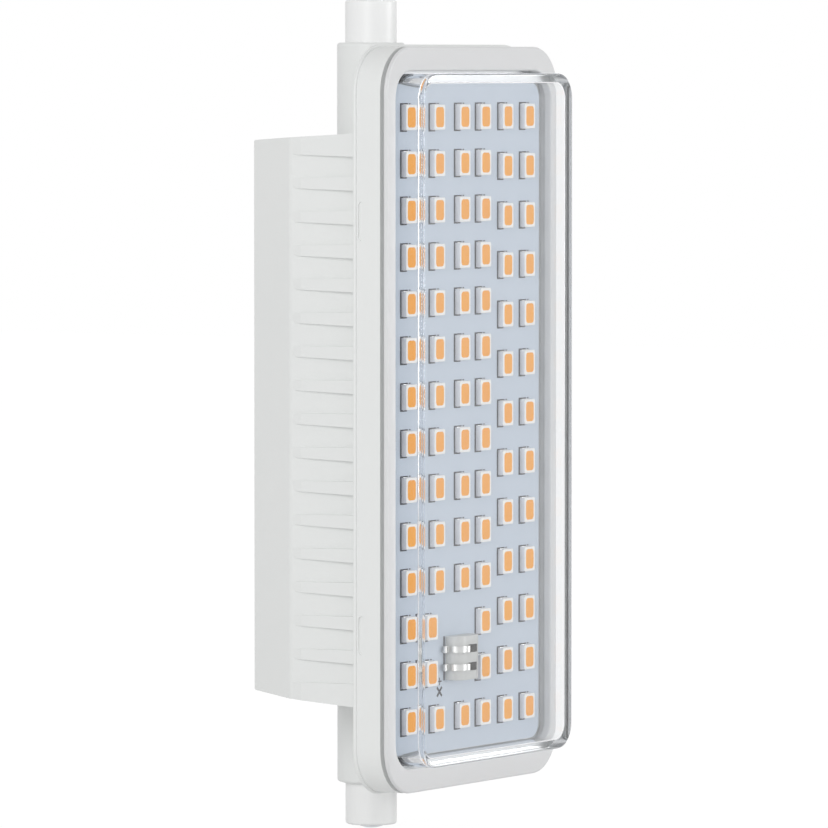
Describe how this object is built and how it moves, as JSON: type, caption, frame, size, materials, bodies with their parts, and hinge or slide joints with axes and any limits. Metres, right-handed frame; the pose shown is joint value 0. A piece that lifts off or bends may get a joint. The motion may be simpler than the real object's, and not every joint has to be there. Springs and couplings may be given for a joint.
{
  "type": "linear led bulb",
  "caption": "Double-ended linear LED lamp: finned white housing with round end caps, framed board of small light-emitting packages and a raised clear cover.",
  "frame": {"origin": "tip of the lower contact, on the lamp axis", "axes": "+Z along the lamp axis to the upper contact, -Y the way the light leaves, +X to the right as seen from the front"},
  "size_m": [0.0466, 0.0314, 0.118],
  "materials": {
    "housing_plastic": "satin white moulded plastic",
    "frame_plastic": "satin white moulded plastic",
    "cover_clear": "clear polished polycarbonate",
    "board_mask": "white solder mask on an aluminium board",
    "pad": "grey silicone pad",
    "spreader": "mill finish",
    "package_resin": "ivory moulded resin",
    "phosphor": "orange phosphor in clear silicone",
    "connector_resin": "white moulded resin",
    "tinned_strip": "bright tinned strip",
    "pin_metal": "plated square wire",
    "spacer_resin": "black moulded resin",
    "laminate": "green laminate",
    "screw_steel": "zinc plated",
    "bulk_sleeve": "dark printed sleeve, plain",
    "smoothing_sleeve": "black sleeve, plain",
    "film_case": "yellow moulded case",
    "varistor_coat": "blue coated disc",
    "fuse_coat": "green coated barrel",
    "bridge_resin": "black moulded resin",
    "chip_resin": "black moulded resin",
    "ferrite": "dark ferrite",
    "bobbin_resin": "black moulded resin",
    "winding_tape": "yellow tape over copper wire",
    "cap_plastic": "satin white insulator",
    "contact_metal": "nickel plated",
    "lead_jacket": "white silicone insulation"
  },
  "bodies": {
    "root": {"rear_housing": "housing_plastic", "front_frame": "frame_plastic", "clear_cover": "cover_clear", "led_board": "board_mask", "thermal_pad": "pad", "heat_spreader": "spreader", "led_packages": "package_resin", "phosphor_windows": "phosphor", "board_connector": "connector_resin", "connector_contacts": "tinned_strip", "output_pins": "pin_metal", "pin_spacer": "spacer_resin", "driver_board": "laminate", "driver_screws": "screw_steel", "bulk_capacitor": "bulk_sleeve", "smoothing_capacitor": "smoothing_sleeve", "film_capacitor": "film_case", "varistor": "varistor_coat", "fusible_resistor": "fuse_coat", "bridge_rectifier": "bridge_resin", "driver_chip": "chip_resin", "choke_core": "ferrite", "choke_bobbin": "bobbin_resin", "choke_winding": "winding_tape", "lower_cap": "cap_plastic", "upper_cap": "cap_plastic", "lower_contact": "contact_metal", "upper_contact": "contact_metal", "lower_lead": "lead_jacket", "upper_lead": "lead_jacket"}
  },
  "joints": []
}
